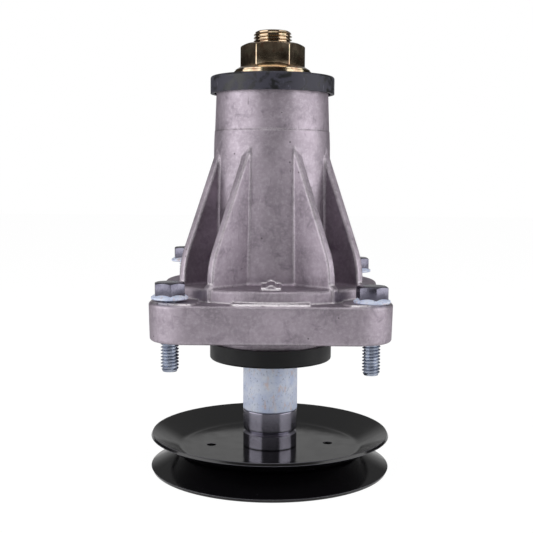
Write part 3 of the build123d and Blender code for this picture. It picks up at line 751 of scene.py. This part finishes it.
# %% Bolts
BOLT_RADIUS, BOLT_ROOT, BOLT_LENGTH, BOLT_PITCH = 3.97, 3.18, 31.75, 25.4 / 18
TIP_RADIUS, TIP_CONE, INTO_HEAD = 3.07, 1.8, 0.2
outside = BOLT_RADIUS + CLEAR
blank = lathe("shank", [(0, -BOLT_LENGTH), (TIP_RADIUS, -BOLT_LENGTH), (outside, TIP_CONE - BOLT_LENGTH),
                        (outside, INTO_HEAD), (0, INTO_HEAD)], 64)
shank = thread("bolt_thread", BOLT_RADIUS, BOLT_ROOT, BOLT_PITCH, -BOLT_LENGTH, 0.0, blank)
for part, material in ((head, dull_zinc), (flange, sleeve_zinc), (shank, bright_zinc)):
    part.data.materials.append(material)
bolt = join("bolt_model", head, flange, shank)
for number in range(1, 5):
    node = "mounting_bolt_%d" % number
    low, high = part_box(node)
    copy = bolt.copy()
    copy.data = bolt.data.copy()
    copy.name = "bolt_%d" % number
    bpy.context.scene.collection.objects.link(copy)
    place = Vector(((low.x + high.x) / 2, (low.y + high.y) / 2, low.z + BOLT_LENGTH / 1000))
    copy.data.transform(Matrix.Translation(place))
    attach(copy, "housing")
    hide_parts(node)
    print(copy.name, "at", [round(1000 * v, 1) for v in place])
bpy.data.objects.remove(bolt)

# %% [markdown]
# ## The blade nut
# A large hexagon nut with its own flange clamps the blade. It is yellow zinc, its top corners are
# chamfered by the same kind of crown, and its bore is countersunk, as on a real nut, where that
# lets the thread start cleanly. The bore is a hair wider than the shaft's thread, so that the two
# never share a surface, and it has no thread of its own, which nobody would see.

# %% Nut
nut_low, nut_high = (1000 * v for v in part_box("blade_nut"))
seat, top = nut_low.z, nut_high.z
NUT_FLATS, NUT_BORE, COUNTERSINK = 26.4, 9.05, 1.0
CHAMFER_RADIUS, SKIRT_RADIUS, SKIRT_TOP = 12.5, 17.6, 3.3
corner = NUT_FLATS / math.sqrt(3)
nut = hexagon("nut_hexagon", NUT_FLATS, seat + 1.5, top, 0)
crown = lathe("crown", [(0, seat), (corner - 0.12, seat), (corner - 0.12, top - 1.35),
                        (corner - 0.5, top - 0.95), (CHAMFER_RADIUS, top), (0, top)], 120)
nut = cut(nut, crown, "INTERSECT")
bore = lathe("bore", [(0, seat - 1), (NUT_BORE, seat - 1), (NUT_BORE, top - COUNTERSINK),
                      (NUT_BORE + 2 * COUNTERSINK, top + COUNTERSINK), (0, top + COUNTERSINK)], 96)
nut = soften(cut(nut, bore, "DIFFERENCE"), 0.4, 3)
skirt = lathe("nut_flange", [(NUT_BORE, seat), (17.3, seat), (SKIRT_RADIUS, seat + 0.3),
                             (SKIRT_RADIUS, seat + 0.75), (17.3, seat + 1.0), (13.6, seat + SKIRT_TOP),
                             (NUT_BORE, seat + SKIRT_TOP), (NUT_BORE, seat)], 120)
bpy.ops.object.shade_smooth_by_angle(angle=math.radians(40))
nut = join("flange_nut", nut, skirt)
nut.data.materials.append(yellow_zinc)
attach(nut, "spindle")
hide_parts("blade_nut")
print("nut from", round(seat, 1), "to", round(top, 1), "mm")

# %% [markdown]
# ## The shaft
# Only its threaded end shows above the nut, with two or three turns of thread and a rounded tip,
# which the blank's outline gives it. Below the pulley the shaft ends in a plain hexagon head. The
# rest runs hidden through the bearings, so it stays a turned bar.

# %% Threaded end
shaft_low, shaft_high = (1000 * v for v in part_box("spindle_shaft"))
tip, foot = shaft_high.z, shaft_low.z
THREAD_RADIUS, THREAD_ROOT, SHAFT_PITCH = 9.0, 8.05, 1.5
outside = THREAD_RADIUS + CLEAR
blank = lathe("stub", [(0, top - 8), (outside, top - 8), (outside, tip - 2.3), (8.8, tip - 1.45),
                       (8.25, tip - 0.65), (7.45, tip - 0.15), (6.6, tip), (0, tip)], 80)
stub = thread("shaft_thread", THREAD_RADIUS, THREAD_ROOT, SHAFT_PITCH, top - 7, tip, blank, 72)

# %% [markdown]
# The bar overlaps the threaded end inside the nut and the head at the foot, and the three become
# one piece. The head is a hexagon cut by a crown that is upside down, since it faces the ground.

# %% Bar and head
HEAD_FLATS, HEAD_DEEP, HEAD_CROWN, SHAFT_RADIUS = 27.0, 6.0, 12.95, 10.0
bar_foot, head_top = foot + HEAD_DEEP - 0.5, foot + HEAD_DEEP
bar = lathe("shaft_bar", [(0, bar_foot), (SHAFT_RADIUS, bar_foot), (SHAFT_RADIUS, seat - 3.6),
                          (THREAD_RADIUS, seat - 2.6), (THREAD_RADIUS, top - 6), (0, top - 6)], 96)
bpy.ops.object.shade_smooth_by_angle(angle=math.radians(35))
corner = HEAD_FLATS / math.sqrt(3)
head = hexagon("shaft_head", HEAD_FLATS, foot, head_top, 0)
crown = lathe("crown", [(0, foot), (HEAD_CROWN, foot), (corner, foot + 1.5), (corner, head_top),
                        (0, head_top)])
head = soften(cut(head, crown, "INTERSECT"), 0.35, 2)
shaft = join("threaded_shaft", bar, stub, head)
shaft.data.materials.append(yellow_zinc)
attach(shaft, "spindle")
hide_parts("spindle_shaft")
print("shaft from", round(foot, 1), "to", round(tip, 1), "mm")

# %% [markdown]
# ## Sizes
# The dressed model has to stay inside the CAD model's box, so both boxes are printed.
# The dressed model has to stay inside the CAD model's box, so both boxes are written down.

# %% Print the sizes and finish
low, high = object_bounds()
print("dressed box in mm:", [round(1000 * v, 1) for v in (*low, *high)])
